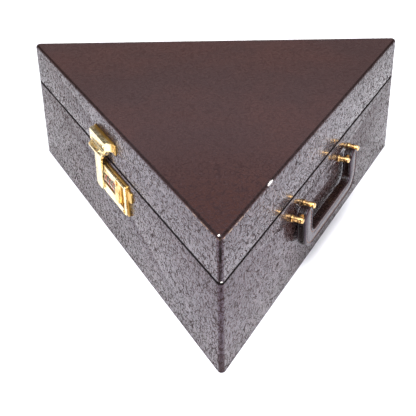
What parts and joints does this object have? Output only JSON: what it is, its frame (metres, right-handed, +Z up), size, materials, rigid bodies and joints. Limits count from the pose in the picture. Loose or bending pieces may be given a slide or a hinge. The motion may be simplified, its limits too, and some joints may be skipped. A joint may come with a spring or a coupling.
{
  "type": "backgammon case",
  "caption": "Triangular hinged carrying case in dark brown leatherette with bail handle and combination hasp lock, felt-lined inside as a folding backgammon board.",
  "frame": {"origin": "middle of the bounding box of the shut case, on the face it rests on", "axes": "+Z up; +Y from the near corner between the two equal sides towards the hinge side; +X to the right, the handle side, as seen from the near corner"},
  "size_m": [0.3846, 0.3872, 0.128],
  "materials": {
    "leatherette": "dark brown embossed glossy leatherette",
    "bottom_cloth": "plain brown leatherette",
    "plywood": "plain plywood",
    "lining_felt": "tan brown felt",
    "field_felt": "green felt",
    "light_inlay": "cream leather",
    "dark_inlay": "oxblood leather",
    "lip_metal": "satin brass",
    "light_resin": "polished ivory resin",
    "dark_resin": "polished dark resin",
    "cube_resin": "polished ivory resin",
    "cup_leather": "brown leather",
    "hinge_brass": "satin brass",
    "steel": "bright steel",
    "screw_brass": "polished brass",
    "handle_leather": "dark brown patent leather",
    "handle_brass": "polished warm brass",
    "lock_gold": "polished pale gold plating",
    "wheel_metal": "dark plated steel"
  },
  "bodies": {
    "base": {"bottom_cover": "bottom_cloth", "bottom_panel": "plywood", "left_wall": "plywood", "right_wall": "plywood", "back_wall": "plywood", "base_covering": "leatherette", "base_lining": "lining_felt", "base_lip": "lip_metal", "floor_felt": "lining_felt", "well_partition": "plywood", "trough_partition": "plywood", "trough_floor": "plywood", "playing_board": "plywood", "base_field": "field_felt", "base_points_light": "light_inlay", "base_points_dark": "dark_inlay", "trough_dividers": "lining_felt", "light_checkers": "light_resin", "dark_checkers": "dark_resin", "light_dice": "light_resin", "dark_dice": "dark_resin", "doubling_cube": "cube_resin", "left_dice_cup": "cup_leather", "right_dice_cup": "cup_leather", "hinge_leaf_base": "hinge_brass", "hinge_pin": "steel", "hinge_screws_base": "screw_brass", "handle_posts": "handle_brass", "handle_collars": "handle_brass", "handle_pins": "handle_brass", "lock_plate": "lock_gold", "lock_case": "lock_gold", "wheel_shaft": "steel", "lock_screw": "screw_brass"},
    "lid": {"lid_top_panel": "plywood", "lid_left_wall": "plywood", "lid_right_wall": "plywood", "lid_back_wall": "plywood", "lid_covering": "leatherette", "lid_lining": "lining_felt", "lid_field": "field_felt", "lid_points_light": "light_inlay", "lid_points_dark": "dark_inlay", "hinge_leaf_lid": "hinge_brass", "hinge_screws_lid": "screw_brass", "hasp_plate": "lock_gold", "hasp_block": "lock_gold", "hasp_pin": "steel", "hasp_screw": "screw_brass"},
    "handle": {"handle_leather": "handle_leather", "handle_core": "steel", "handle_bushes": "handle_brass"},
    "hasp": {"hasp": "lock_gold"},
    "slide": {"release_slide": "lock_gold"},
    "wheel_1": {"number_wheel_1": "wheel_metal"},
    "wheel_2": {"number_wheel_2": "wheel_metal"},
    "wheel_3": {"number_wheel_3": "wheel_metal"}
  },
  "joints": [
    {"name": "lid_hinge", "type": "hinge", "parent": "base", "child": "lid", "pos_m": [0, 0.19084, 0.0868], "axis": [-1, 0, 0], "range_deg": [0, 180]},
    {"name": "handle_swing", "type": "hinge", "parent": "base", "child": "handle", "pos_m": [0.10161, -0.01358, 0.0674], "axis": [-0.4524, -0.8918, 0], "range_deg": [0, 180]},
    {"name": "hasp_flip", "type": "hinge", "parent": "lid", "child": "hasp", "pos_m": [-0.10857, 0.00632, 0.098], "axis": [-0.4524, 0.8918, 0], "range_deg": [0, 75]},
    {"name": "slide_release", "type": "slide", "parent": "base", "child": "slide", "axis": [0.4524, -0.8918, 0], "range_m": [0, 0.007], "stiffness_N_per_m": 250},
    {"name": "wheel_1_turn", "type": "hinge", "parent": "base", "child": "wheel_1", "pos_m": [-0.09928, 0.00083, 0.06605], "axis": [0.4524, -0.8918, 0], "continuous": true},
    {"name": "wheel_2_turn", "type": "hinge", "parent": "base", "child": "wheel_2", "pos_m": [-0.09525, -0.00711, 0.06605], "axis": [0.4524, -0.8918, 0], "continuous": true},
    {"name": "wheel_3_turn", "type": "hinge", "parent": "base", "child": "wheel_3", "pos_m": [-0.09123, -0.01504, 0.06605], "axis": [0.4524, -0.8918, 0], "continuous": true}
  ]
}
